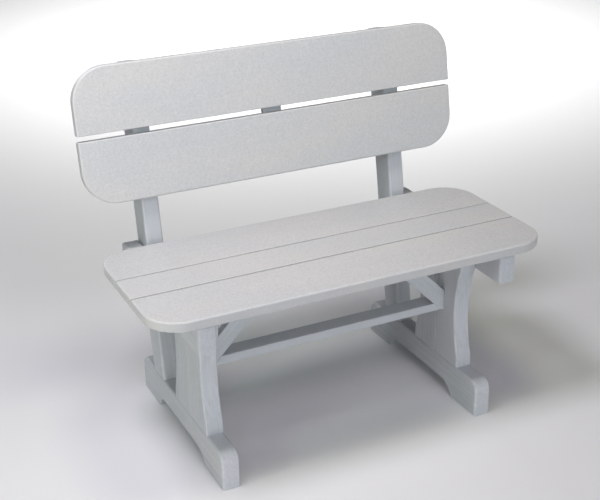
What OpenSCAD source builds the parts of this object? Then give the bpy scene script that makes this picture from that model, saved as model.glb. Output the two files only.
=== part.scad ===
// Garden bench of plastic lumber: two pedestal legs on arched feet, a three-board seat
// and a two-board back on raked posts.
// Frame: +X along the bench, +Y towards the back, +Z up, origin under the middle of the
// overall box, on the ground. All sizes in millimetres.

/* [Lumber] */
// Width of the wide seat and back boards
wide_board_w = 139; // [120:1:160]
// Width of the middle seat board and of each leg board
narrow_board_w = 90; // [80:1:100]
// Thickness of the seat and back boards
board_t = 22; // [18:1:28]
// Thickness of the legs, feet, posts and cleats
frame_t = 39; // [34:1:44]
// Depth of a back post and height of a seat cleat
rail_d = 66; // [58:0.5:76]
// Width of the braces and of the seat batten
slat_w = 38; // [32:1:44]
// Thickness of the braces, the stretcher and the seat batten
slat_t = 19; // [16:1:22]
// Radius of the rounded outer edges of the seat and back boards
rim_r = 4; // [2:0.5:8]
// Radius of the rounded edges of posts and cleats
round_r = 6; // [3:0.5:8]
// Radius of the eased edges between neighbouring boards, and of slats
edge_r = 2; // [1:0.5:4]

/* [Seat] */
// Length of the seat and of the back
bench_l = 899; // [860:1:1000]
// Height of the seat top above the ground
seat_h = 411.5; // [390:0.5:460]
// Gap between two seat boards
seat_gap = 4; // [2:0.5:10]
// Radius of the outer corners of seat and back
corner_r = 75; // [40:1:80]
// Length of a seat cleat
cleat_l = 457; // [440:1:480]
// Distance from the seat's front edge to a cleat's front end
cleat_setback = 7.5; // [2:0.5:20]
// Length of the batten under the middle of the seat
seat_batten_l = 290; // [250:1:320]

/* [Back] */
// Angle of the back from the vertical, in degrees
back_tilt = 9.25; // [6:0.25:14]
// Clearance between the seat's rear edge and the plane of the back, at seat height
back_clear = 6; // [2:0.5:12]
// Distance up the slope from the seat top to the back's lower edge
back_rise = 97.5; // [80:0.5:120]
// Gap between the two back boards
back_gap = 12.5; // [6:0.5:20]
// Distance from the back's top edge down to the tops of the posts
post_drop = 5; // [0:0.5:15]
// Width of the batten behind the middle of the back
batten_w = 45; // [38:1:60]
// Thickness of the back batten
back_batten_t = 13; // [10:1:19]
// Length of the back batten
back_batten_l = 250; // [240:1:280]

/* [Legs] */
// Distance between the outer faces of the two legs
leg_span = 649; // [600:1:700]
// Depth of the hollow curve in a leg's front and rear edges
leg_waist = 17.5; // [8:0.5:24]
// Height of the straight edge at the foot of a leg
leg_heel = 25; // [10:1:40]
// Length of a foot
foot_l = 477; // [460:1:520]
// Height of a foot
foot_h = 85; // [75:1:100]
// Distance from the seat's front edge to the front of a foot
foot_setback = 17.5; // [0:0.5:30]
// Radius of a foot's upper corners
foot_corner_r = 25; // [10:1:40]
// Height of the arch under a foot
arch_h = 29.5; // [15:0.5:35]
// Length of the pad at each end of a foot
pad_l = 100; // [80:1:120]
// Radius of the arch's rounded ends
arch_r = 44; // [35:1:60]

/* [Stretcher and braces] */
// Width of the stretcher, from front to rear
stretcher_w = 42; // [36:1:48]
// Height of the stretcher's underside
stretcher_z = 209; // [150:1:240]
// Distance from the seat's front edge to the stretcher's front face
stretcher_setback = 158; // [130:0.5:165]
// Depth of the housing that holds a stretcher end in its leg
housing_d = 10; // [5:1:15]

/* [Hidden] */
$fn = 64;

seat_d = 2 * wide_board_w + narrow_board_w + 2 * seat_gap;
seat_z = seat_h - board_t;
back_h = 2 * wide_board_w + back_gap;
post_top = back_rise + back_h - post_drop;

// Overall depth, from the seat's front edge to the top rear edge of the posts
overall_d = seat_d + back_clear + post_top * sin(back_tilt)
    + (board_t + rail_d) * cos(back_tilt);
front_y = -overall_d / 2;

leg_x = leg_span / 2;
inner_x = leg_x - frame_t;
cleat_x = leg_x + frame_t / 2;
cleat_z = seat_z - rail_d;
leg_mid_y = front_y + seat_d / 2;
stretcher_y = front_y + stretcher_setback;
foot_y = front_y + foot_setback;

// Boards of the seat as [distance of the front edge, width], front to rear
seat_boards = [
    [0, wide_board_w],
    [wide_board_w + seat_gap, narrow_board_w],
    [wide_board_w + narrow_board_w + 2 * seat_gap, wide_board_w]
];
// Screw rows: two in each board, a quarter of its width from its edges
seat_screw_ys = [for (b = seat_boards) for (k = [0.25, 0.75]) front_y + b[0] + k * b[1]];
back_screw_ss = [for (i = [0, 1]) for (k = [0.25, 0.75])
    back_rise + i * (wide_board_w + back_gap) + k * wide_board_w];

// Screws as [shank diameter, head diameter, whole length]
board_screw = [5, 10, 48];
batten_screw = [4, 8, 30];
thin_batten_screw = [4, 8, 26];
side_screw = [6, 12, 64];
lag_screw = [8, 14, 92];
brace_screw = [5, 10, 58];
short_screw = [4, 8, 35];
// Height of a screw head's straight rim
rim_h = 0.5;
// Clearance round a screw, and past its tip
fit = 0.1;
tip_fit = 0.3;
// How far a board screw bites into its board
bite = 15;
// Depths to which the lag screws and the brace screws are sunk
lag_sink = 45;
brace_sink = 6;
leg_screw_zs = [for (k = [0.25, 0.75]) cleat_z + k * rail_d];
leg_screw_ys = [for (s = [-1, 1]) leg_mid_y + s * 0.6 * narrow_board_w];
foot_screw_ys = [for (k = [-0.7, -0.28, 0.28, 0.7]) leg_mid_y + k * narrow_board_w];
brace_screw_y = stretcher_y + slat_t / 2;

// A brace runs at 45 degrees: x + z is constant along each of its two sides
brace_toe = 7.5;
brace_low = inner_x - brace_toe + stretcher_z;
brace_high = brace_low + slat_w * sqrt(2);
brace_screw_z = stretcher_z + 0.6 * slat_w * sqrt(2);
brace_screw_x = (brace_low + brace_high) / 2 - seat_z;
lap_screw_x = inner_x - brace_toe;

// A post's middle line: its place at the seat's height, and at height z
post_y = front_y + seat_d + back_clear + (board_t + rail_d / 2) / cos(back_tilt);
function post_y_at(z) = post_y + (z - seat_h) * tan(back_tilt);
post_screw_y = post_y_at(cleat_z + rail_d / 2);
post_lag_y = post_y_at(foot_h + 0.5 * lag_sink);

light_grey = [0.78, 0.78, 0.77];
frame_grey = [0.70, 0.71, 0.72];
steel_grey = [0.55, 0.56, 0.58];

// ---------- shared shapes ----------

// Rectangle with round corners, one corner of its box at the origin
module round_rect(w, h, r) {
    translate([r, 0]) square([w - 2 * r, h]);
    translate([0, r]) square([w, h - 2 * r]);
    for (x = [r, w - r])
        for (y = [r, h - r])
            translate([x, y]) circle(r);
}

// The same with radius r_low on the two corners at x = 0, and r on the others
module mixed_rect(w, h, r_low, r) {
    reach = 2 * max(r_low, r);
    intersection() {
        round_rect(w + reach, h, r_low);
        translate([-reach, 0]) round_rect(w + reach, h, r);
    }
}

// Bar along Y from y = 0, with its long edges rounded
module bar_y(l, w, h, r) {
    translate([0, l, 0]) rotate([90, 0, 0]) linear_extrude(l) round_rect(w, h, r);
}

// Round plate with rounded rims, standing on z = 0
module round_disc(r, t) {
    rotate_extrude() intersection() {
        translate([-r, 0]) round_rect(2 * r, t, rim_r);
        square([r, t]);
    }
}

// Board centred on X, from y = 0 to y = w: its ends are rounded, its long edge at y = 0
// has radius r_low, and the other one is eased
module eased_board(w, r_low) {
    translate([-bench_l / 2, 0, 0]) intersection() {
        rotate([90, 0, 90]) linear_extrude(bench_l) mixed_rect(w, board_t, r_low, edge_r);
        bar_y(w, bench_l, board_t, rim_r);
    }
}

// The same board with its two corners at y = 0 rounded off
module corner_board() {
    corner_x = bench_l / 2 - corner_r;
    difference() {
        eased_board(wide_board_w, rim_r);
        for (s = [-1, 1])
            scale_x(s) translate([corner_x, 0, 0]) difference() {
                translate([0, -1, -1]) cube([corner_r + 1, corner_r + 1, board_t + 2]);
                translate([0, corner_r, 0]) round_disc(corner_r, board_t);
            }
    }
}

// Mirror across the middle of the bench for s = -1
module scale_x(s) {
    mirror([s < 0 ? 1 : 0, 0, 0]) children();
}

// Countersunk screw along +Z, its head's top at z = 0
module screw(spec) {
    d = spec[0];
    head_h = (spec[1] - d) / 2 + rim_h;
    difference() {
        union() {
            cylinder(h = rim_h, d = spec[1]);
            translate([0, 0, rim_h]) cylinder(h = head_h - rim_h, d1 = spec[1], d2 = d);
            translate([0, 0, head_h]) cylinder(h = spec[2] - head_h - d, d = d);
            translate([0, 0, spec[2] - d]) cylinder(h = d, d1 = d, d2 = 0.2 * d);
        }
        translate([0, 0, -1]) cylinder(h = 1 + 0.5 * d, d = 0.8 * d, $fn = 6);
    }
}

// Hole for that screw, with a sunk shaft of length sink above the head
module screw_hole(spec, sink = 1) {
    d = spec[0] + 2 * fit;
    head_h = (spec[1] - spec[0]) / 2 + rim_h;
    translate([0, 0, -sink]) cylinder(h = sink + rim_h, d = spec[1] + 2 * fit);
    translate([0, 0, rim_h]) cylinder(h = head_h - rim_h, d1 = spec[1] + 2 * fit, d2 = d);
    translate([0, 0, head_h - fit]) cylinder(h = spec[2] - head_h + fit + tip_fit, d = d);
}

// Places children in the plane of the back: X along the bench, Y up the slope from the
// seat top, Z from the back's front plane towards the rear
module on_back() {
    translate([0, front_y + seat_d + back_clear, seat_h])
        rotate([90 - back_tilt, 0, 0]) mirror([0, 0, 1]) children();
}

// ---------- screw positions ----------

// Up through each seat cleat into the seat boards
module at_cleat_screws(sides = [-1, 1]) {
    for (s = sides)
        for (y = seat_screw_ys)
            translate([s * cleat_x, y, seat_z + bite - board_screw[2]]) children();
}

// Up through the seat batten into the seat boards, clear of the batten's ends
module at_seat_batten_screws() {
    for (y = seat_screw_ys)
        if (abs(y - leg_mid_y) < seat_batten_l / 2 - batten_screw[1])
            translate([0, y, seat_z - slat_t]) children();
}

// Through each post into the back boards, from behind
module at_post_screws(sides = [-1, 1]) {
    on_back()
        for (s = sides)
            for (h = back_screw_ss)
                translate([s * (leg_x - frame_t / 2), h, board_screw[2] + board_t - bite])
                    mirror([0, 0, 1]) children();
}

// Through the back batten into the back boards, from behind
module at_back_batten_screws() {
    on_back()
        for (h = back_screw_ss)
            translate([0, h, board_t + back_batten_t]) mirror([0, 0, 1]) children();
}

// Through legs and posts into the cleats, from the inside
module at_side_screws(sides = [-1, 1]) {
    for (s = sides)
        for (z = leg_screw_zs)
            for (y = concat(leg_screw_ys, [post_screw_y]))
                translate([s * inner_x, y, z]) rotate([0, s * 90, 0]) children();
}

// Up through each foot into the leg boards and the post
module at_lag_screws(sides = [-1, 1]) {
    for (s = sides)
        for (y = concat(foot_screw_ys, [post_lag_y]))
            translate([s * (leg_x - frame_t / 2), y, lag_sink]) children();
}

// Through each brace's lower end into its leg
module at_brace_leg_screws(sides = [-1, 1]) {
    for (s = sides)
        translate([s * (brace_low - brace_screw_z + brace_sink), brace_screw_y, brace_screw_z])
            rotate([0, s * 90, 0]) children();
}

// Up through each brace's upper end into the middle seat board
module at_brace_seat_screws(sides = [-1, 1]) {
    for (s = sides)
        translate([s * brace_screw_x, brace_screw_y, seat_z + bite - short_screw[2]]) children();
}

// Through the lapped ends of the stretcher into the braces, from behind
module at_lap_screws(sides = [-1, 1]) {
    for (s = sides)
        translate([s * lap_screw_x, stretcher_y + stretcher_w, stretcher_z + slat_t / 2])
            rotate([90, 0, 0]) children();
}

// ---------- seat ----------

module seat_holes() {
    at_cleat_screws() screw_hole(board_screw);
    at_seat_batten_screws() screw_hole(batten_screw);
    at_brace_seat_screws() screw_hole(short_screw);
}

module seat_board_front() {
    color(light_grey) difference() {
        translate([0, front_y, seat_z]) corner_board();
        seat_holes();
    }
}

module seat_board_middle() {
    color(light_grey) difference() {
        translate([0, front_y + seat_boards[1][0], seat_z]) eased_board(narrow_board_w, edge_r);
        seat_holes();
    }
}

module seat_board_rear() {
    color(light_grey) difference() {
        translate([0, front_y + seat_d, seat_z]) mirror([0, 1, 0]) corner_board();
        seat_holes();
    }
}

module seat_batten() {
    color(frame_grey) difference() {
        translate([-slat_w / 2, leg_mid_y - seat_batten_l / 2, seat_z - slat_t])
            bar_y(seat_batten_l, slat_w, slat_t, edge_r);
        at_seat_batten_screws() screw_hole(batten_screw);
    }
}

module seat_cleat(side) {
    sink = board_screw[2] - bite;
    color(frame_grey) difference() {
        translate([side * cleat_x - frame_t / 2, front_y + cleat_setback, cleat_z])
            intersection() {
                bar_y(cleat_l, frame_t, rail_d, round_r);
                linear_extrude(rail_d) round_rect(frame_t, cleat_l, round_r);
            }
        at_cleat_screws([side]) screw_hole(board_screw, rail_d - sink + 1);
        at_side_screws([side]) screw_hole(side_screw);
    }
}

module seat_cleat_left() {
    seat_cleat(-1);
}

module seat_cleat_right() {
    seat_cleat(1);
}

// ---------- back ----------

module back_holes() {
    at_post_screws() screw_hole(board_screw);
    at_back_batten_screws() screw_hole(thin_batten_screw);
}

module back_board_lower() {
    color(light_grey) difference() {
        on_back() translate([0, back_rise, 0]) corner_board();
        back_holes();
    }
}

module back_board_upper() {
    color(light_grey) difference() {
        on_back() translate([0, back_rise + back_h, 0]) mirror([0, 1, 0]) corner_board();
        back_holes();
    }
}

module back_batten() {
    mid = back_rise + back_h / 2;
    color(frame_grey) difference() {
        on_back() translate([-batten_w / 2, mid - back_batten_l / 2, board_t])
            bar_y(back_batten_l, batten_w, back_batten_t, edge_r);
        at_back_batten_screws() screw_hole(thin_batten_screw);
    }
}

// Raked post, cut level at the bottom where it stands on the foot
module back_post(side) {
    sink = board_t + rail_d - (board_screw[2] + board_t - bite) + 1;
    below = seat_h / cos(back_tilt) + rail_d;
    color(frame_grey) difference() {
        on_back() translate([side * (leg_x - frame_t / 2) - frame_t / 2, -below, board_t])
            bar_y(below + post_top, frame_t, rail_d, round_r);
        translate([-leg_span, front_y, foot_h - seat_h]) cube([2 * leg_span, overall_d, seat_h]);
        at_post_screws([side]) screw_hole(board_screw, sink);
        at_side_screws([side]) screw_hole(side_screw);
        at_lag_screws([side]) screw_hole(lag_screw);
    }
}

module back_post_left() {
    back_post(-1);
}

module back_post_right() {
    back_post(1);
}

// ---------- legs ----------

// Side view of the front leg board, from its front edge at x = 0 and the foot's top at
// y = 0: straight at the heel, hollow up to the cleat, then straight to the seat
module leg_outline() {
    hollow_l = cleat_z - foot_h - leg_heel;
    hollow_r = (pow(hollow_l / 2, 2) + pow(leg_waist, 2)) / (2 * leg_waist);
    difference() {
        square([narrow_board_w, seat_z - foot_h]);
        translate([leg_waist - hollow_r, leg_heel + hollow_l / 2]) circle(hollow_r, $fn = 360);
    }
}

// Stretcher with its lapped ends and tenons, without its screw holes
module stretcher_body() {
    half_l = inner_x + housing_d;
    difference() {
        translate([-half_l, stretcher_y, stretcher_z])
            rotate([90, 0, 90]) linear_extrude(2 * half_l) round_rect(stretcher_w, slat_t, edge_r);
        for (s = [-1, 1])
            scale_x(s) translate([0, stretcher_y + slat_t, 0]) rotate([90, 0, 0])
                linear_extrude(slat_t + 1) polygon([
                    [brace_low - stretcher_z + 1, stretcher_z - 1],
                    [half_l + 1, stretcher_z - 1],
                    [half_l + 1, stretcher_z + slat_t + 1],
                    [brace_low - stretcher_z - slat_t - 1, stretcher_z + slat_t + 1]
                ]);
    }
}

module leg_holes(side) {
    stretcher_body();
    at_side_screws([side]) screw_hole(side_screw);
    at_lag_screws([side]) screw_hole(lag_screw);
    at_brace_leg_screws([side]) screw_hole(brace_screw);
}

module leg_board(side, rear) {
    x = side * (leg_x - frame_t / 2) - frame_t / 2;
    color(frame_grey) difference() {
        translate([x, leg_mid_y, foot_h]) mirror([0, rear ? 1 : 0, 0])
            translate([0, -narrow_board_w, 0])
                rotate([90, 0, 90]) linear_extrude(frame_t) leg_outline();
        leg_holes(side);
    }
}

module leg_front_board_left() {
    leg_board(-1, false);
}

module leg_front_board_right() {
    leg_board(1, false);
}

module leg_rear_board_left() {
    leg_board(-1, true);
}

module leg_rear_board_right() {
    leg_board(1, true);
}

// Side view of a foot, from its front lower corner: round upper corners and a low arch
module foot_outline() {
    arch_run = sqrt(pow(arch_r, 2) - pow(arch_r - arch_h, 2));
    arch_ends = [pad_l + arch_run, foot_l - pad_l - arch_run];
    difference() {
        union() {
            square([foot_l, foot_h - foot_corner_r]);
            translate([foot_corner_r, 0]) square([foot_l - 2 * foot_corner_r, foot_h]);
            for (x = [foot_corner_r, foot_l - foot_corner_r])
                translate([x, foot_h - foot_corner_r]) circle(foot_corner_r);
        }
        translate([arch_ends[0], -1]) square([arch_ends[1] - arch_ends[0], arch_h + 1]);
        for (x = arch_ends)
            translate([x, arch_h - arch_r]) circle(arch_r);
    }
}

module foot(side) {
    x = side * (leg_x - frame_t / 2) - frame_t / 2;
    color(frame_grey) difference() {
        translate([x, foot_y, 0]) rotate([90, 0, 90]) linear_extrude(frame_t) foot_outline();
        at_lag_screws([side]) screw_hole(lag_screw, lag_sink + 1);
    }
}

module foot_left() {
    foot(-1);
}

module foot_right() {
    foot(1);
}

// ---------- stretcher and braces ----------

module stretcher() {
    color(frame_grey) difference() {
        stretcher_body();
        at_lap_screws() screw_hole(short_screw);
    }
}

// Cut level under the seat and at its toe, and upright against the leg
module brace(side) {
    color(frame_grey) difference() {
        scale_x(side) translate([0, stretcher_y + slat_t, 0]) rotate([90, 0, 0])
            linear_extrude(slat_t) polygon([
                [inner_x, stretcher_z],
                [inner_x, brace_high - inner_x],
                [brace_high - seat_z, seat_z],
                [brace_low - seat_z, seat_z],
                [brace_low - stretcher_z, stretcher_z]
            ]);
        at_brace_leg_screws([side]) screw_hole(brace_screw, 2 * brace_sink);
        at_brace_seat_screws([side]) screw_hole(short_screw, 2 * brace_sink);
        at_lap_screws([side]) screw_hole(short_screw);
    }
}

module brace_left() {
    brace(-1);
}

module brace_right() {
    brace(1);
}

// ---------- fasteners ----------

module seat_cleat_screws() {
    color(steel_grey) at_cleat_screws() screw(board_screw);
}

module seat_batten_screws() {
    color(steel_grey) at_seat_batten_screws() screw(batten_screw);
}

module back_post_screws() {
    color(steel_grey) at_post_screws() screw(board_screw);
}

module back_batten_screws() {
    color(steel_grey) at_back_batten_screws() screw(thin_batten_screw);
}

module leg_cleat_screws() {
    color(steel_grey) at_side_screws() screw(side_screw);
}

module foot_lag_screws() {
    color(steel_grey) at_lag_screws() screw(lag_screw);
}

module brace_leg_screws() {
    color(steel_grey) at_brace_leg_screws() screw(brace_screw);
}

module brace_seat_screws() {
    color(steel_grey) at_brace_seat_screws() screw(short_screw);
}

module brace_lap_screws() {
    color(steel_grey) at_lap_screws() screw(short_screw);
}

seat_board_front();
seat_board_middle();
seat_board_rear();
back_board_lower();
back_board_upper();
back_post_left();
back_post_right();
back_batten();
seat_batten();
seat_cleat_left();
seat_cleat_right();
leg_front_board_left();
leg_front_board_right();
leg_rear_board_left();
leg_rear_board_right();
foot_left();
foot_right();
stretcher();
brace_left();
brace_right();
seat_cleat_screws();
seat_batten_screws();
back_post_screws();
back_batten_screws();
leg_cleat_screws();
foot_lag_screws();
brace_leg_screws();
brace_seat_screws();
brace_lap_screws();
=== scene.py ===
"""Garden bench of plastic lumber: every board, post, leg and foot as an eased, drilled piece."""
import math

import bmesh
import bpy
import numpy as np
from mathutils import Matrix, Vector


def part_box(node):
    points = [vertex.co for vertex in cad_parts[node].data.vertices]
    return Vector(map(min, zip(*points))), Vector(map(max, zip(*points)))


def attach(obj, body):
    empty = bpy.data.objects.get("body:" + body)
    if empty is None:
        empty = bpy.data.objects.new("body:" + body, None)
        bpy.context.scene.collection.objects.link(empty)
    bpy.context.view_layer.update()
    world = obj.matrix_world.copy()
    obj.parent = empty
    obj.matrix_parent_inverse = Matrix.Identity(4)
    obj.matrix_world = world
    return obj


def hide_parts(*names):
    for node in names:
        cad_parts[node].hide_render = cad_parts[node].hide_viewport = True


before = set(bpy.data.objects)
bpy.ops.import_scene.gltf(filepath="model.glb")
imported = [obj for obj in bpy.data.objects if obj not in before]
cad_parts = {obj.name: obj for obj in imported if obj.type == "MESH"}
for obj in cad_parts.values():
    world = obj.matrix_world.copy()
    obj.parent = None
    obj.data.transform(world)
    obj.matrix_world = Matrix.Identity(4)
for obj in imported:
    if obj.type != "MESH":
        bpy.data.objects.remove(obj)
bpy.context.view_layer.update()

MM = 0.001

# Edge radii: rounded posts and feet, softened leg edges, rims of the seat and back boards,
# eased slats and board seams, the seam in a leg, plain saw cuts
ROUNDED = 6.0 * MM
SOFTENED = 4.0 * MM
RIM = 4.0 * MM
EASED = 2.0 * MM
SEAM = 3.5 * MM
SAWN = 0.5 * MM
EASE_STEPS = 5
ARC_STEP = math.radians(4)
SHARP_ANGLE = math.radians(28)

# Shapes that a box alone doesn't give
BACK_TILT = math.radians(9.25)
CORNER_R = 75 * MM
LEG_HEEL = 25 * MM
LEG_WAIST = 17.5 * MM
FOOT_CORNER_R = 25 * MM
ARCH_H = 29.5 * MM
ARCH_R = 44 * MM
PAD_L = 100 * MM
BATTEN_T = 13 * MM
BRACE_W = 38 * MM
BRACE_TOE = 7.5 * MM

# Screw holes: depth of the shaft above a head, room round a screw, height of a head's rim, and
# room past its tip
FLUSH = 1 * MM
RAIL_SINK = 32 * MM
FOOT_SINK = 46 * MM
BRACE_SINK = 12 * MM
HOLE_FIT = 0.1 * MM
HEAD_RIM = 0.5 * MM
TIP_ROOM = 0.3 * MM
HOLE_SIDES = 32

# Lumber's skin, in patches a metre: mottle, speckle, lines and clouds along a board, and rubbed
# places where the edges are lightened, partly as wear and partly as painted highlight
MOTTLE = 230
SPECKLE = 750
LINES = (5, 190, 190)
CLOUDS = (3.5, 10, 10)
RUB_AND_HIGHLIGHT = 60

# Camera: place from the ground under the middle of the seat's front edge, and direction
CAMERA_FROM_SEAT = Vector((-1.0282, -1.8109, 1.4085))
CAMERA_AZIMUTH = math.radians(25.84)
CAMERA_ELEVATION = math.radians(24.08)
CAMERA_ROLL = math.radians(-0.90)
LENS = 69.5


# ---------- measures from the frame ----------

def size_of(node):
    low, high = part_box(node)
    return high - low


BOARD_W = size_of("seat_board_front").y
BOARD_T = size_of("seat_board_front").z
BENCH_L = size_of("seat_board_front").x
FRAME_T = size_of("foot_left").x
RAIL_D = size_of("seat_cleat_left").z
BATTEN_W = size_of("back_batten").x


# ---------- outlines, as lists of (u, v) points, anticlockwise ----------

def arc(centre, radius, start, end):
    """Points on an arc, both ends included; it turns clockwise when end is below start."""
    steps = max(2, math.ceil(abs(end - start) / ARC_STEP))
    angles = [start + (end - start) * i / steps for i in range(steps + 1)]
    return [(centre[0] + radius * math.cos(a), centre[1] + radius * math.sin(a)) for a in angles]


def rectangle(length, width, low_r=0.0, high_r=0.0):
    """Rectangle from (0, 0) with low_r at its two corners on v = 0 and high_r at the others."""
    corners = [
        ((length - low_r, low_r), low_r, -90),
        ((length - high_r, width - high_r), high_r, 0),
        ((high_r, width - high_r), high_r, 90),
        ((low_r, low_r), low_r, 180),
    ]
    points = []
    for centre, radius, start in corners:
        if radius:
            points += arc(centre, radius, math.radians(start), math.radians(start + 90))
        else:
            points.append(centre)
    return points


def leg_outline(width, height, hollow_top):
    """A leg board from the side, its hollow edge at u = 0."""
    run = hollow_top - LEG_HEEL
    radius = ((run / 2) ** 2 + LEG_WAIST ** 2) / (2 * LEG_WAIST)
    half_angle = math.asin(run / 2 / radius)
    centre = (LEG_WAIST - radius, LEG_HEEL + run / 2)
    return [(0, 0), (width, 0), (width, height), (0, height)] + arc(
        centre, radius, half_angle, -half_angle
    )


def foot_outline(length, height):
    """A foot from the side: round upper corners, and a low arch between its two pads."""
    run = math.sqrt(ARCH_R ** 2 - (ARCH_R - ARCH_H) ** 2)
    lean = math.asin((ARCH_R - ARCH_H) / ARCH_R)
    rear_arch = arc(
        (length - PAD_L - run, ARCH_H - ARCH_R), ARCH_R, lean, math.pi / 2
    )
    front_arch = arc((PAD_L + run, ARCH_H - ARCH_R), ARCH_R, math.pi / 2, math.pi - lean)
    r = FOOT_CORNER_R
    return (
        [(0, 0), (PAD_L, 0)]
        + front_arch[::-1][1:]
        + rear_arch[::-1][:-1]
        + [(length - PAD_L, 0), (length, 0)]
        + arc((length - r, height - r), r, 0, math.pi / 2)
        + arc((r, height - r), r, math.pi / 2, math.pi)
    )


# ---------- mesh work ----------

def prism(outline, depth, radius_of=lambda p, q: ROUNDED):
    """Mesh data of an outline extruded along w. Each edge's radius is kept as a bevel weight:
    radius_of(p, q) gives it for the side between two outline points, and a corner takes the
    smaller one."""
    bm = bmesh.new()
    weight = bm.edges.layers.float.new("bevel_weight_edge")
    low = [bm.verts.new((u, v, 0)) for u, v in outline]
    high = [bm.verts.new((u, v, depth)) for u, v in outline]
    bm.faces.new(low[::-1])
    bm.faces.new(high)
    count = len(outline)
    following = [(i + 1) % count for i in range(count)]
    for i, j in enumerate(following):
        bm.faces.new((low[i], low[j], high[j], high[i]))
    share = [radius_of(outline[i], outline[j]) / ROUNDED for i, j in enumerate(following)]
    for i, j in enumerate(following):
        for ring in (low, high):
            bm.edges.get((ring[i], ring[j]))[weight] = share[i]
        before, at, after = (Vector(outline[k]) for k in (i - 1, i, j))
        if (at - before).angle(after - at) > SHARP_ANGLE:
            bm.edges.get((low[i], high[i]))[weight] = min(share[i], share[i - 1])
    return bm


def new_piece(name, bm):
    mesh = bpy.data.meshes.new(name)
    bm.to_mesh(mesh)
    bm.free()
    piece = bpy.data.objects.new(name, mesh)
    bpy.context.scene.collection.objects.link(piece)
    return piece


def apply_modifiers(piece):
    bpy.context.view_layer.update()
    graph = bpy.context.evaluated_depsgraph_get()
    mesh = bpy.data.meshes.new_from_object(piece.evaluated_get(graph), depsgraph=graph)
    old = piece.data
    piece.modifiers.clear()
    piece.data = mesh
    mesh.name = piece.name
    bpy.data.meshes.remove(old)


def ease_edges(piece):
    bevel = piece.modifiers.new("ease", "BEVEL")
    bevel.limit_method = "WEIGHT"
    bevel.width = ROUNDED
    bevel.segments = EASE_STEPS
    bevel.use_clamp_overlap = False
    apply_modifiers(piece)


def subtract(piece, cutter):
    """Cuts the cutter's shape from the piece, and removes the cutter."""
    cut = piece.modifiers.new("cut", "BOOLEAN")
    cut.operation = "DIFFERENCE"
    cut.solver = "EXACT"
    cut.object = cutter
    apply_modifiers(piece)
    bpy.data.objects.remove(cutter)


def smooth(piece):
    """Smooth easings beside flat faces."""
    mesh = piece.data
    mesh.polygons.foreach_set("use_smooth", [True] * len(mesh.polygons))
    mesh.set_sharp_from_angle(angle=SHARP_ANGLE)
    weighted = piece.modifiers.new("flat_faces", "WEIGHTED_NORMAL")
    weighted.keep_sharp = True
    weighted.weight = 100
    apply_modifiers(piece)


def store_faces(piece):
    """Marks for the materials: "skin" is 1 on the broad faces and 0 on the sides, and "edge" is
    1 halfway round an edge and 0 on both."""
    mesh = piece.data
    skin = np.array([v.normal.z for v in mesh.vertices]) ** 2
    for name, values in (("skin", skin), ("edge", 4 * skin * (1 - skin))):
        layer = mesh.attributes.new(name, "FLOAT", "POINT")
        layer.data.foreach_set("value", values.astype(np.float32))


def store_grain(piece, lengthwise, shift):
    """Keeps each point's place in the piece's own frame, X along the board, for the materials."""
    co = np.empty(len(piece.data.vertices) * 3, np.float32)
    piece.data.vertices.foreach_get("co", co)
    co = co.reshape(-1, 3)
    if lengthwise == "v":
        co = co[:, [1, 0, 2]]
    elif lengthwise == "diagonal":
        u, v, w = co.T
        co = np.stack([u - v, u + v, w], axis=1) * [math.sqrt(0.5), math.sqrt(0.5), 1]
    co = co + np.array([shift, 0.37 * shift, 0.61 * shift], np.float32)
    layer = piece.data.attributes.new("grain", "FLOAT_VECTOR", "POINT")
    layer.data.foreach_set("vector", np.ascontiguousarray(co, np.float32).ravel())


def place(piece, node, axes):
    """Turns the piece's (u, v, w) onto the three axes, and moves it onto its CAD node."""
    turn = Matrix((axes[0], axes[1], axes[2])).transposed().to_4x4()
    piece.data.transform(turn)
    if turn.determinant() < 0:
        piece.data.flip_normals()
    co = np.array([v.co for v in piece.data.vertices])
    middle = Vector((co.min(0) + co.max(0)) / 2)
    low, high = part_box(node)
    piece.data.transform(Matrix.Translation((low + high) / 2 - middle))


# ---------- screws ----------

def screws_of(node):
    """Each screw in a CAD node, as (head centre, direction to the tip, head radius, shank
    radius, length)."""
    bm = bmesh.new()
    bm.from_mesh(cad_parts[node].data)
    bmesh.ops.remove_doubles(bm, verts=bm.verts, dist=1e-6)
    left = set(bm.verts)
    found = []
    while left:
        island = [left.pop()]
        for vert in island:
            for edge in vert.link_edges:
                other = edge.other_vert(vert)
                if other in left:
                    left.remove(other)
                    island.append(other)
        co = np.array([v.co for v in island])
        found.append(screw_measures(co))
    bm.free()
    return found


def screw_measures(co):
    centre = (co.max(0) + co.min(0)) / 2
    axis = np.linalg.svd(co - co.mean(0), full_matrices=False)[2][0]
    along = (co - centre) @ axis
    off = co - centre - np.outer(along, axis)
    radius = np.linalg.norm(off - off.mean(0), axis=1)
    if along[radius.argmax()] > along.mean():
        axis, along = -axis, -along
    start, end = along.min(), along.max()
    shank = radius[(along > start + 0.3 * (end - start)) & (along < end - 1e-4)].max()
    head = Vector(centre + axis * start)
    return head, Vector(axis), float(radius.max()), float(shank), float(end - start)


SCREW_NODES = sorted(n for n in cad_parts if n.endswith("_screws"))
SCREWS = {node: screws_of(node) for node in SCREW_NODES}


def near(screw, node):
    """Whether the screw passes through the node's box."""
    head, axis, radius, _, length = screw
    low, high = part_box(node)
    for step in range(9):
        p = head + axis * length * step / 8
        if all(low[i] - radius < p[i] < high[i] + radius for i in range(3)):
            return True
    return False


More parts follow.
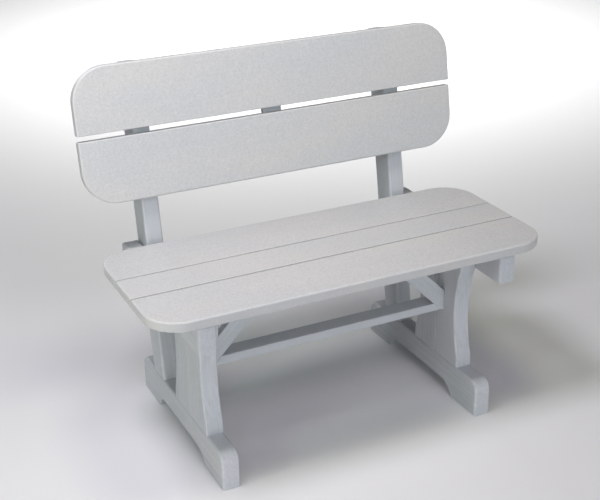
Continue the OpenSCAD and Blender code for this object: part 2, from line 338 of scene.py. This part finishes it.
def hole_cutter(screws, sink):
    """The holes of several screws as one mesh: a sunk shaft, a countersink and a clearance bore."""
    bm = bmesh.new()
    for head, axis, head_r, shank_r, length in screws:
        cone_end = HEAD_RIM + (head_r - shank_r)
        profile = [
            (head_r + HOLE_FIT, -sink),
            (head_r + HOLE_FIT, HEAD_RIM),
            (shank_r + HOLE_FIT, cone_end),
            (shank_r + HOLE_FIT, length + TIP_ROOM),
        ]
        turn = axis.to_track_quat("Z", "Y").to_matrix().to_4x4()
        frame_of = Matrix.Translation(head) @ turn
        rings = []
        for radius, z in profile:
            ring = []
            for k in range(HOLE_SIDES):
                a = 2 * math.pi * k / HOLE_SIDES
                p = Vector((radius * math.cos(a), radius * math.sin(a), z))
                ring.append(bm.verts.new(frame_of @ p))
            rings.append(ring)
        bm.faces.new(rings[0][::-1])
        bm.faces.new(rings[-1])
        for a, b in zip(rings, rings[1:]):
            for k in range(HOLE_SIDES):
                m = (k + 1) % HOLE_SIDES
                bm.faces.new((a[k], a[m], b[m], b[k]))
    return new_piece("holes", bm)


def drill(piece, node, sinks):
    """Cuts the holes of the screws in each named screw node; sinks gives each one's shaft
    above the head."""
    for screw_node, sink in sinks.items():
        screws = [s for s in SCREWS[screw_node] if near(s, node)]
        if screws:
            subtract(piece, hole_cutter(screws, sink))


# ---------- materials ----------

def node_tree(name):
    material = bpy.data.materials.new(name)
    material.use_nodes = True
    tree = material.node_tree
    shader = tree.nodes["Principled BSDF"]
    return material, tree, shader


def add(tree, kind, **inputs):
    node = tree.nodes.new(kind)
    for key, value in inputs.items():
        node.inputs[key.replace("_", " ")].default_value = value
    return node


def stretched(tree, source, scale):
    mapping = tree.nodes.new("ShaderNodeMapping")
    mapping.inputs["Scale"].default_value = scale
    tree.links.new(source, mapping.inputs["Vector"])
    return mapping.outputs["Vector"]


def noise(tree, vector, scale, detail=2.0, roughness=0.5, distortion=0.0):
    node = add(tree, "ShaderNodeTexNoise", Scale=scale, Detail=detail, Roughness=roughness)
    node.inputs["Distortion"].default_value = distortion
    tree.links.new(vector, node.inputs["Vector"])
    return node.outputs["Fac"]


def ramp(tree, value, low, high, out_low, out_high):
    node = add(tree, "ShaderNodeMapRange")
    node.inputs["From Min"].default_value = low
    node.inputs["From Max"].default_value = high
    node.inputs["To Min"].default_value = out_low
    node.inputs["To Max"].default_value = out_high
    tree.links.new(value, node.inputs["Value"])
    return node.outputs["Result"]


def maths(tree, operation, a, b):
    node = tree.nodes.new("ShaderNodeMath")
    node.operation = operation
    for socket, value in zip(node.inputs, (a, b)):
        if isinstance(value, (int, float)):
            socket.default_value = value
        else:
            tree.links.new(value, socket)
    return node.outputs[0]


def product(tree, factors):
    result = factors[0]
    for factor in factors[1:]:
        result = maths(tree, "MULTIPLY", result, factor)
    return result


def attribute(tree, name):
    node = tree.nodes.new("ShaderNodeAttribute")
    node.attribute_name = name
    return node


def lumber_material(name, cool, warm, mottling, streak):
    """Matt plastic lumber: a skin between a cool and a warm tint, mottled on the broad faces, with
    lines drawn along the board, and rounded edges painted paler in patches, partly as wear and
    partly as a painted highlight, and made smoother."""
    material, tree, shader = node_tree(name)
    place_in = attribute(tree, "grain").outputs["Vector"]
    skin = attribute(tree, "skin").outputs["Fac"]
    edge = attribute(tree, "edge").outputs["Fac"]
    mottle = noise(tree, place_in, MOTTLE, detail=2, roughness=0.55, distortion=0.8)
    speckle = noise(tree, place_in, SPECKLE, detail=2, roughness=0.6)
    drawn = noise(tree, stretched(tree, place_in, LINES), 1, detail=4, roughness=0.65)
    cloud = noise(tree, stretched(tree, place_in, CLOUDS), 1, detail=3)
    rub_and_highlight = noise(tree, place_in, RUB_AND_HIGHLIGHT, detail=3)
    patches = product(tree, (
        ramp(tree, mottle, 0.3, 0.7, -mottling, mottling),
        ramp(tree, skin, 0, 1, 0.35, 1.0),
    ))
    # Patches on the rounded edges that are lightened below: partly wear, partly painted highlight
    wear_and_highlight = maths(tree, "MULTIPLY", edge, ramp(tree, rub_and_highlight, 0.35, 0.65, 0.2, 1.0))
    tone = product(tree, (
        maths(tree, "ADD", patches, 1.0),
        ramp(tree, speckle, 0.3, 0.7, 0.975, 1.025),
        ramp(tree, drawn, 0.3, 0.7, 1 - streak, 1 + streak),
        ramp(tree, cloud, 0.3, 0.7, 0.98, 1.02),
        # Lightens the rubbed edges by up to 9 percent: a painted highlight as well as wear
        ramp(tree, wear_and_highlight, 0, 1, 1.0, 1.09),
    ))
    tint = add(tree, "ShaderNodeMixRGB", Color1=(*cool, 1), Color2=(*warm, 1))
    tree.links.new(ramp(tree, cloud, 0.35, 0.65, 0, 1), tint.inputs["Fac"])
    colour = tree.nodes.new("ShaderNodeVectorMath")
    colour.operation = "SCALE"
    tree.links.new(tint.outputs["Color"], colour.inputs[0])
    tree.links.new(tone, colour.inputs["Scale"])
    tree.links.new(colour.outputs["Vector"], shader.inputs["Base Color"])
    matt = ramp(tree, mottle, 0.3, 0.7, 0.62, 0.48)
    rough = maths(tree, "SUBTRACT", matt, maths(tree, "MULTIPLY", wear_and_highlight, 0.08))
    tree.links.new(rough, shader.inputs["Roughness"])
    height = maths(tree, "ADD", maths(tree, "MULTIPLY", patches, 6.0),
                   maths(tree, "MULTIPLY", speckle, 0.3))
    height = maths(tree, "ADD", height, maths(tree, "MULTIPLY", drawn, 5 * streak))
    bump = add(tree, "ShaderNodeBump", Strength=0.4, Distance=0.0006)
    tree.links.new(height, bump.inputs["Height"])
    tree.links.new(bump.outputs["Normal"], shader.inputs["Normal"])
    return material


def steel_material():
    """Stainless screws: fine turned lines and a few duller spots."""
    material, tree, shader = node_tree("stainless")
    coordinates = add(tree, "ShaderNodeTexCoord")
    place_in = coordinates.outputs["Object"]
    fine = noise(tree, place_in, 2500, detail=2)
    spots = noise(tree, place_in, 300, detail=3)
    shader.inputs["Metallic"].default_value = 1.0
    tone = tree.nodes.new("ShaderNodeVectorMath")
    tone.operation = "SCALE"
    tone.inputs[0].default_value = (0.58, 0.585, 0.60)
    tree.links.new(ramp(tree, spots, 0.3, 0.7, 0.85, 1.05), tone.inputs["Scale"])
    tree.links.new(tone.outputs["Vector"], shader.inputs["Base Color"])
    tree.links.new(ramp(tree, fine, 0.3, 0.7, 0.28, 0.45), shader.inputs["Roughness"])
    bump = add(tree, "ShaderNodeBump", Strength=0.2, Distance=0.0001)
    tree.links.new(fine, bump.inputs["Height"])
    tree.links.new(bump.outputs["Normal"], shader.inputs["Normal"])
    return material


BOARD = lumber_material(
    "board_lumber", (0.590, 0.600, 0.600), (0.608, 0.600, 0.582), mottling=0.075, streak=0.012
)
FRAME = lumber_material(
    "frame_lumber", (0.558, 0.588, 0.614), (0.576, 0.586, 0.604), mottling=0.04, streak=0.085
)
STEEL = steel_material()


# ---------- pieces ----------

X, Y, Z = Vector((1, 0, 0)), Vector((0, 1, 0)), Vector((0, 0, 1))
UP_SLOPE = Vector((0, math.sin(BACK_TILT), math.cos(BACK_TILT)))
TO_REAR = Vector((0, math.cos(BACK_TILT), -math.sin(BACK_TILT)))
made = []


def complete(piece, node, axes, material, lengthwise="u", sinks=None, wedges=()):
    """Eases, places, drills and finishes a piece that stands for one CAD node."""
    ease_edges(piece)
    store_faces(piece)
    store_grain(piece, lengthwise, shift=0.83 * (len(made) + 1))
    place(piece, node, axes)
    for wedge in wedges:
        subtract(piece, wedge)
    drill(piece, node, sinks or {})
    smooth(piece)
    piece.data.materials.clear()
    piece.data.materials.append(material)
    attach(piece, "root")
    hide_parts(node)
    made.append(piece)
    return piece


def seams(width, low_r, high_r):
    """Edge radii of a board: a rim all round, but eased on a long side that meets a neighbour."""
    def radius_of(p, q):
        on_low = p[1] == q[1] == 0 and not low_r
        on_high = p[1] == q[1] == width and not high_r
        return EASED if on_low or on_high else RIM
    return radius_of


def seat_boards():
    sinks = {"seat_cleat_screws": FLUSH, "seat_batten_screws": FLUSH, "brace_seat_screws": FLUSH}
    for node, low_r, high_r in (
        ("seat_board_front", CORNER_R, 0),
        ("seat_board_middle", 0, 0),
        ("seat_board_rear", 0, CORNER_R),
    ):
        width = size_of(node).y
        outline = rectangle(BENCH_L, width, low_r, high_r)
        piece = new_piece(node + "_lumber", prism(outline, BOARD_T, seams(width, low_r, high_r)))
        complete(piece, node, (X, Y, Z), BOARD, sinks=sinks)


def back_boards():
    sinks = {"back_post_screws": FLUSH, "back_batten_screws": FLUSH}
    for node, low_r, high_r in (
        ("back_board_lower", CORNER_R, 0),
        ("back_board_upper", 0, CORNER_R),
    ):
        outline = rectangle(BENCH_L, BOARD_W, low_r, high_r)
        piece = new_piece(node + "_lumber", prism(outline, BOARD_T, seams(BOARD_W, low_r, high_r)))
        axes = (X, UP_SLOPE, TO_REAR)
        complete(piece, node, axes, BOARD, sinks=sinks)


def sloped_length(node, depth):
    """Length up the slope of a piece of that depth, from the height of its box."""
    height = size_of(node).z
    return (height - depth * math.sin(BACK_TILT)) / math.cos(BACK_TILT)


def back_batten():
    node = "back_batten"
    outline = rectangle(BATTEN_W, sloped_length(node, BATTEN_T))
    piece = new_piece(node + "_lumber", prism(outline, BATTEN_T, lambda p, q: EASED))
    axes = (X, UP_SLOPE, TO_REAR)
    complete(piece, node, axes, FRAME, "v", {"back_batten_screws": FLUSH})


def back_posts():
    for side in ("left", "right"):
        node = f"back_post_{side}"
        length = size_of(node).z / math.cos(BACK_TILT)
        drop = RAIL_D * math.tan(BACK_TILT)
        outline = [(0, 0), (RAIL_D, drop), (RAIL_D, length), (0, length)]

        def radius_of(p, q):
            level_cut = max(p[1], q[1]) < length / 2
            return SAWN if level_cut else ROUNDED

        piece = new_piece(node + "_lumber", prism(outline, FRAME_T, radius_of))
        sinks = {
            "back_post_screws": RAIL_SINK,
            "leg_cleat_screws": FLUSH,
            "foot_lag_screws": FLUSH,
        }
        complete(piece, node, (TO_REAR, UP_SLOPE, X), FRAME, "v", sinks)


def seat_batten():
    node = "seat_batten"
    size = size_of(node)
    outline = rectangle(size.y, size.x)
    piece = new_piece(node + "_lumber", prism(outline, size.z, lambda p, q: EASED))
    complete(piece, node, (Y, X, Z), FRAME, "u", {"seat_batten_screws": FLUSH})


def seat_cleats():
    for side in ("left", "right"):
        node = f"seat_cleat_{side}"
        size = size_of(node)
        outline = rectangle(size.x, size.y)
        piece = new_piece(node + "_lumber", prism(outline, size.z))
        sinks = {"seat_cleat_screws": RAIL_SINK, "leg_cleat_screws": FLUSH}
        complete(piece, node, (X, Y, Z), FRAME, "v", sinks)


def leg_boards():
    cleat_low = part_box("seat_cleat_left")[0].z
    for side in ("left", "right"):
        for place_name in ("front", "rear"):
            node = f"leg_{place_name}_board_{side}"
            low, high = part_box(node)
            width, height = high.y - low.y, high.z - low.z
            outline = leg_outline(width, height, cleat_low - low.z)

            def radius_of(p, q):
                if p[1] == q[1]:
                    return SAWN
                return SEAM if p[0] == q[0] == width else SOFTENED

            piece = new_piece(node + "_lumber", prism(outline, high.x - low.x, radius_of))
            forward = Y if place_name == "front" else -Y
            sinks = {
                "leg_cleat_screws": FLUSH,
                "foot_lag_screws": FLUSH,
                "brace_leg_screws": FLUSH,
            }
            complete(piece, node, (forward, Z, X), FRAME, "v", sinks)


def feet():
    for side in ("left", "right"):
        node = f"foot_{side}"
        size = size_of(node)
        outline = foot_outline(size.y, size.z)

        def radius_of(p, q):
            return ROUNDED if max(p[1], q[1]) > ARCH_H else EASED

        piece = new_piece(node + "_lumber", prism(outline, size.x, radius_of))
        sinks = {"foot_lag_screws": FOOT_SINK}
        complete(piece, node, (Y, Z, X), FRAME, "u", sinks)


def braces():
    """Knee braces at 45 degrees; u runs outwards along the bench, and v up."""
    side_w = BRACE_W * math.sqrt(2)
    for side, along in (("left", -X), ("right", X)):
        node = f"brace_{side}"
        low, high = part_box(node)
        length, height = high.x - low.x, high.z - low.z
        outline = [
            (0, height),
            (height, 0),
            (length, 0),
            (length, height + side_w - length),
            (side_w, height),
        ]

        def radius_of(p, q):
            return SAWN if p[1] == q[1] or p[0] == q[0] else EASED

        piece = new_piece(node + "_lumber", prism(outline, high.y - low.y, radius_of))
        sinks = {
            "brace_leg_screws": BRACE_SINK,
            "brace_seat_screws": BRACE_SINK,
            "brace_lap_screws": FLUSH,
        }
        complete(piece, node, (along, Z, Y), FRAME, "diagonal", sinks)


def lap_wedge(side):
    """What the stretcher's front half gives up to the brace on that side."""
    low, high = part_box("stretcher")
    brace_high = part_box("brace_right")[1]
    low_side = brace_high.x - BRACE_TOE + low.z
    points = [
        (low_side - low.z + MM, low.z - MM),
        (high.x + MM, low.z - MM),
        (high.x + MM, high.z + MM),
        (low_side - high.z - MM, high.z + MM),
    ]
    bm = bmesh.new()
    rings = []
    for y in (low.y - MM, brace_high.y):
        rings.append([bm.verts.new((side * x, y, z)) for x, z in points])
    bm.faces.new(rings[0])
    bm.faces.new(rings[1][::-1])
    for i in range(4):
        j = (i + 1) % 4
        bm.faces.new((rings[0][j], rings[0][i], rings[1][i], rings[1][j]))
    bmesh.ops.recalc_face_normals(bm, faces=bm.faces)
    return new_piece("wedge", bm)


def stretcher():
    node = "stretcher"
    size = size_of(node)
    outline = rectangle(size.x, size.y)

    def radius_of(p, q):
        return SAWN if p[0] == q[0] else EASED

    piece = new_piece(node + "_lumber", prism(outline, size.z, radius_of))
    wedges = [lap_wedge(-1), lap_wedge(1)]
    sinks = {"brace_lap_screws": FLUSH}
    complete(piece, node, (X, Y, Z), FRAME, "u", sinks, wedges)


def finish_screws():
    for node in SCREW_NODES:
        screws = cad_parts[node]
        screws.data.materials.clear()
        screws.data.materials.append(STEEL)


# ---------- floor, light and camera ----------

def floor():
    bm = bmesh.new()
    bmesh.ops.create_circle(bm, cap_ends=True, segments=96, radius=30)
    plane = new_piece("floor", bm)
    material, tree, shader = node_tree("floor")
    shader.inputs["Base Color"].default_value = (0.88, 0.88, 0.88, 1)
    shader.inputs["Roughness"].default_value = 0.9
    plane.data.materials.append(material)


def hang(name, lamp, source, place_at=(0, 0, 0)):
    """Puts a lamp in the scene, shining from the direction source."""
    obj = bpy.data.objects.new(name, lamp)
    bpy.context.scene.collection.objects.link(obj)
    obj.location = place_at
    obj.rotation_mode = "QUATERNION"
    obj.rotation_quaternion = source.to_track_quat("Z", "Y")


def sun(name, azimuth, elevation, strength, colour, angle):
    """Soft light from a direction: azimuth 0 comes from the front, positive from the right."""
    lamp = bpy.data.lights.new(name, "SUN")
    lamp.energy = strength
    lamp.color = colour
    lamp.angle = math.radians(angle)
    a, e = math.radians(azimuth), math.radians(elevation)
    source = Vector((math.sin(a) * math.cos(e), -math.cos(a) * math.cos(e), math.sin(e)))
    hang(name, lamp, source)


def softbox(name, place_at, aim, size, power, colour, spread=180):
    """Round soft light at a place, aimed at a point; spread is its beam's angle."""
    lamp = bpy.data.lights.new(name, "AREA")
    lamp.shape = "DISK"
    lamp.size = size
    lamp.spread = math.radians(spread)
    lamp.energy = power
    lamp.color = colour
    hang(name, lamp, Vector(place_at) - Vector(aim), place_at)


def lights():
    world = bpy.data.worlds.new("studio")
    world.use_nodes = True
    background = world.node_tree.nodes["Background"]
    background.inputs["Color"].default_value = (1, 1, 1, 1)
    background.inputs["Strength"].default_value = 0.02
    bpy.context.scene.world = world
    bench = (0, 0, 0.35)
    white = (1, 1, 1)
    sun("front", 0, 10, 1.09, (0.86, 0.94, 1.0), 40)
    sun("rear", 180, 4, 0.45, white, 10)
    sun("right", 90, 4, 0.25, white, 10)
    softbox("overhead_left", (-0.9, -0.2, 2.4), bench, 0.7, 26, (0.93, 0.89, 1.0))
    softbox("overhead", (0.1, -0.5, 2.6), bench, 0.7, 9.5, (1.0, 1.0, 0.75))
    softbox("front_high", (-0.3, -1.9, 2.2), bench, 0.7, 9.5, (0.92, 0.84, 1.0))
    softbox("front_left", (-1.5, -1.3, 2.2), bench, 0.7, 5.0, (0.98, 0.86, 1.0))
    softbox("left", (-2.2, -0.6, 1.2), bench, 0.7, 7.0, (0.75, 1.0, 0.82))
    softbox("low_left", (-1.6, -0.5, 0.3), bench, 0.7, 2.4, (1.0, 0.85, 0.80))
    softbox("backdrop", (1.5, 3.0, 2.5), (3.0, 5.8, -1.5), 3.0, 125, white)
    softbox("floor_wash", (1.0, 2.5, 2.6), (1.0, 2.5, 0), 2.4, 9, white, 90)


def camera():
    data = bpy.data.cameras.new("camera")
    data.lens = LENS
    obj = bpy.data.objects.new("camera", data)
    bpy.context.scene.collection.objects.link(obj)
    az, el, roll = CAMERA_AZIMUTH, CAMERA_ELEVATION, CAMERA_ROLL
    forward = Vector((math.sin(az) * math.cos(el), math.cos(az) * math.cos(el), -math.sin(el)))
    level = forward.cross(Z).normalized()
    upright = level.cross(forward)
    right = level * math.cos(roll) + upright * math.sin(roll)
    up = upright * math.cos(roll) - level * math.sin(roll)
    seat_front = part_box("seat_board_front")[0].y
    turn = Matrix((right, up, -forward)).transposed().to_4x4()
    place_at = Matrix.Translation(CAMERA_FROM_SEAT + Y * seat_front)
    obj.matrix_world = place_at @ turn
    bpy.context.scene.camera = obj


seat_boards()
back_boards()
back_batten()
back_posts()
seat_batten()
seat_cleats()
leg_boards()
feet()
braces()
stretcher()
finish_screws()
floor()
lights()
camera()
bpy.context.scene.view_settings.view_transform = "Standard"
